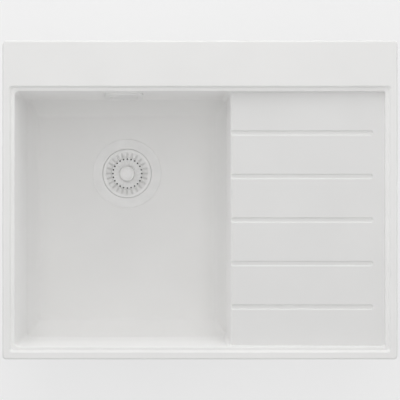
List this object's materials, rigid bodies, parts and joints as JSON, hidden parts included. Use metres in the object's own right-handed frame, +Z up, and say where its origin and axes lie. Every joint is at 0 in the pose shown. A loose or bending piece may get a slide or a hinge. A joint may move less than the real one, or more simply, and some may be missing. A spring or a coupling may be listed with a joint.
{
  "type": "inset kitchen sink",
  "caption": "Square-edged white composite inset kitchen sink with a deep bowl, a grooved drainboard, basket strainer waste, overflow and worktop clips.",
  "frame": {"origin": "centre of the sink in plan, at the worktop's surface, which is the underside of the rim", "axes": "+X to the right along the worktop, +Y to the back edge with the tap ledge, +Z up"},
  "size_m": [0.62, 0.5, 0.295],
  "materials": {
    "composite_white": "matte, finely grained moulded stone composite",
    "flange_white": "satin powder coat matched to the sink",
    "strainer_white": "satin moulded plastic matched to the sink",
    "hood_white": "satin moulded plastic matched to the sink",
    "seal_foam": "closed-cell foam strip",
    "rubber_dark": "black moulded rubber",
    "moulded_white": "matte moulded polypropylene",
    "nut_grey": "matte moulded polypropylene",
    "stem_grey": "matte moulded acetal",
    "screw_steel": "plain stainless steel",
    "claw_steel": "zinc-plated pressed steel",
    "nut_brass": "turned brass"
  },
  "bodies": {
    "sink": {"sink_body": "composite_white", "rim_seal": "seal_foam", "waste_flange": "flange_white", "flange_gasket": "rubber_dark", "waste_gasket": "rubber_dark", "waste_body": "moulded_white", "waste_screw": "screw_steel", "waste_nut": "nut_brass", "overflow_cover": "hood_white", "overflow_frame": "moulded_white", "overflow_screws": "screw_steel", "overflow_gasket": "rubber_dark", "overflow_housing": "moulded_white", "overflow_pipe": "moulded_white", "overflow_nut_upper": "nut_grey", "overflow_nut_lower": "nut_grey", "overflow_washers": "rubber_dark", "clip_inserts": "stem_grey", "clip_screws": "screw_steel"},
    "basket": {"strainer_basket": "strainer_white"},
    "plug": {"strainer_knob": "strainer_white", "strainer_stem": "stem_grey", "strainer_seal": "rubber_dark"},
    "claw_back_left": {"clip_claw_back_left": "claw_steel"},
    "claw_back_middle": {"clip_claw_back_middle": "claw_steel"},
    "claw_back_right": {"clip_claw_back_right": "claw_steel"},
    "claw_right_back": {"clip_claw_right_back": "claw_steel"},
    "claw_right_front": {"clip_claw_right_front": "claw_steel"},
    "claw_front_right": {"clip_claw_front_right": "claw_steel"},
    "claw_front_middle": {"clip_claw_front_middle": "claw_steel"},
    "claw_left_back": {"clip_claw_left_back": "claw_steel"}
  },
  "joints": [
    {"name": "basket_lift", "type": "slide", "parent": "sink", "child": "basket", "axis": [0, 0, 1], "range_m": [0, 0.25]},
    {"name": "plug_lift", "type": "slide", "parent": "basket", "child": "plug", "axis": [0, 0, 1], "range_m": [0, 0.008]},
    {"name": "claw_back_left_turn", "type": "hinge", "parent": "sink", "child": "claw_back_left", "pos_m": [-0.23, 0.222, -0.0453], "axis": [0, 0, 1], "range_deg": [0, 90]},
    {"name": "claw_back_middle_turn", "type": "hinge", "parent": "sink", "child": "claw_back_middle", "pos_m": [0, 0.222, -0.0453], "axis": [0, 0, 1], "range_deg": [0, 90]},
    {"name": "claw_back_right_turn", "type": "hinge", "parent": "sink", "child": "claw_back_right", "pos_m": [0.23, 0.222, -0.0453], "axis": [0, 0, 1], "range_deg": [0, 90]},
    {"name": "claw_right_back_turn", "type": "hinge", "parent": "sink", "child": "claw_right_back", "pos_m": [0.282, 0.09, -0.0453], "axis": [0, 0, 1], "range_deg": [0, 90]},
    {"name": "claw_right_front_turn", "type": "hinge", "parent": "sink", "child": "claw_right_front", "pos_m": [0.282, -0.11, -0.0453], "axis": [0, 0, 1], "range_deg": [0, 90]},
    {"name": "claw_front_right_turn", "type": "hinge", "parent": "sink", "child": "claw_front_right", "pos_m": [0.24, -0.222, -0.0453], "axis": [0, 0, 1], "range_deg": [0, 90]},
    {"name": "claw_front_middle_turn", "type": "hinge", "parent": "sink", "child": "claw_front_middle", "pos_m": [0.11, -0.222, -0.0453], "axis": [0, 0, 1], "range_deg": [0, 90]},
    {"name": "claw_left_back_turn", "type": "hinge", "parent": "sink", "child": "claw_left_back", "pos_m": [-0.282, 0.208, -0.0453], "axis": [0, 0, 1], "range_deg": [-90, 0]}
  ]
}
